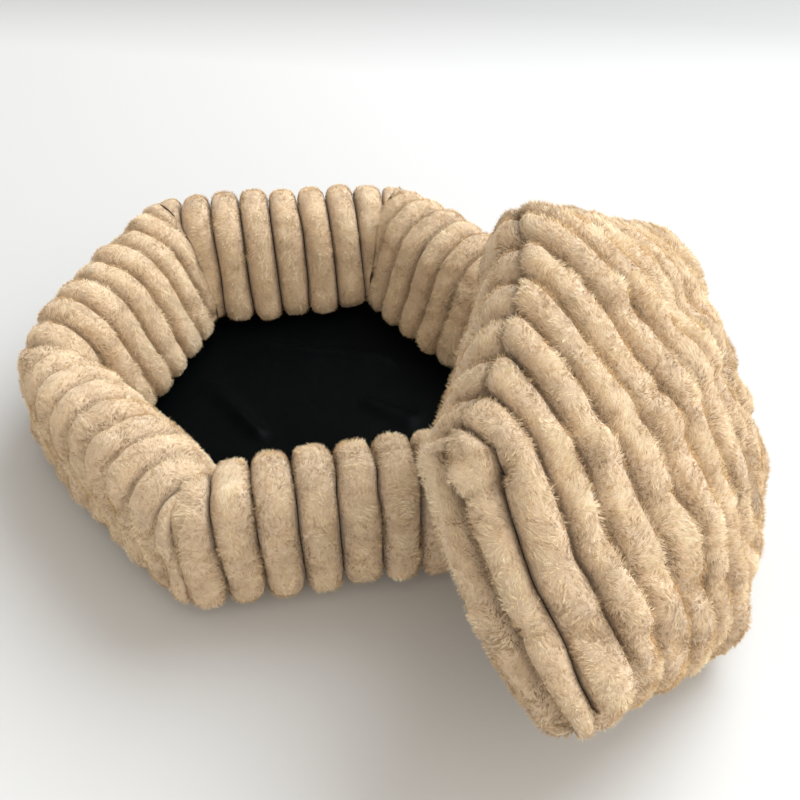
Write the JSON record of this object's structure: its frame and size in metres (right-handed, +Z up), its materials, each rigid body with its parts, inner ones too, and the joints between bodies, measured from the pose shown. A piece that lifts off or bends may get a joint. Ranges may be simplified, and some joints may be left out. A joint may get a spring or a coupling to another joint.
{
  "type": "channelled plush pet bed with its loose cushion",
  "caption": "Hexagonal, flower-like plush pet bed with channelled walls and a black base cloth, its ribbed cushion leaning on one corner.",
  "frame": {"origin": "on the underside of the base cloth, under the middle of the ring", "axes": "+Z up; -Y towards the front wall; +X towards the corner right of the front wall, on whose side the cushion leans"},
  "size_m": [0.6405, 0.7366, 0.3113],
  "materials": {
    "plush": "beige short-pile plush, sewn in channels",
    "base": "black satin-weave cloth with soft creases"
  },
  "bodies": {
    "root": {"wall_front": "plush", "wall_front_right": "plush", "wall_back_right": "plush", "wall_back": "plush", "wall_back_left": "plush", "wall_front_left": "plush", "base_cloth": "base", "cushion": "plush"}
  },
  "joints": []
}
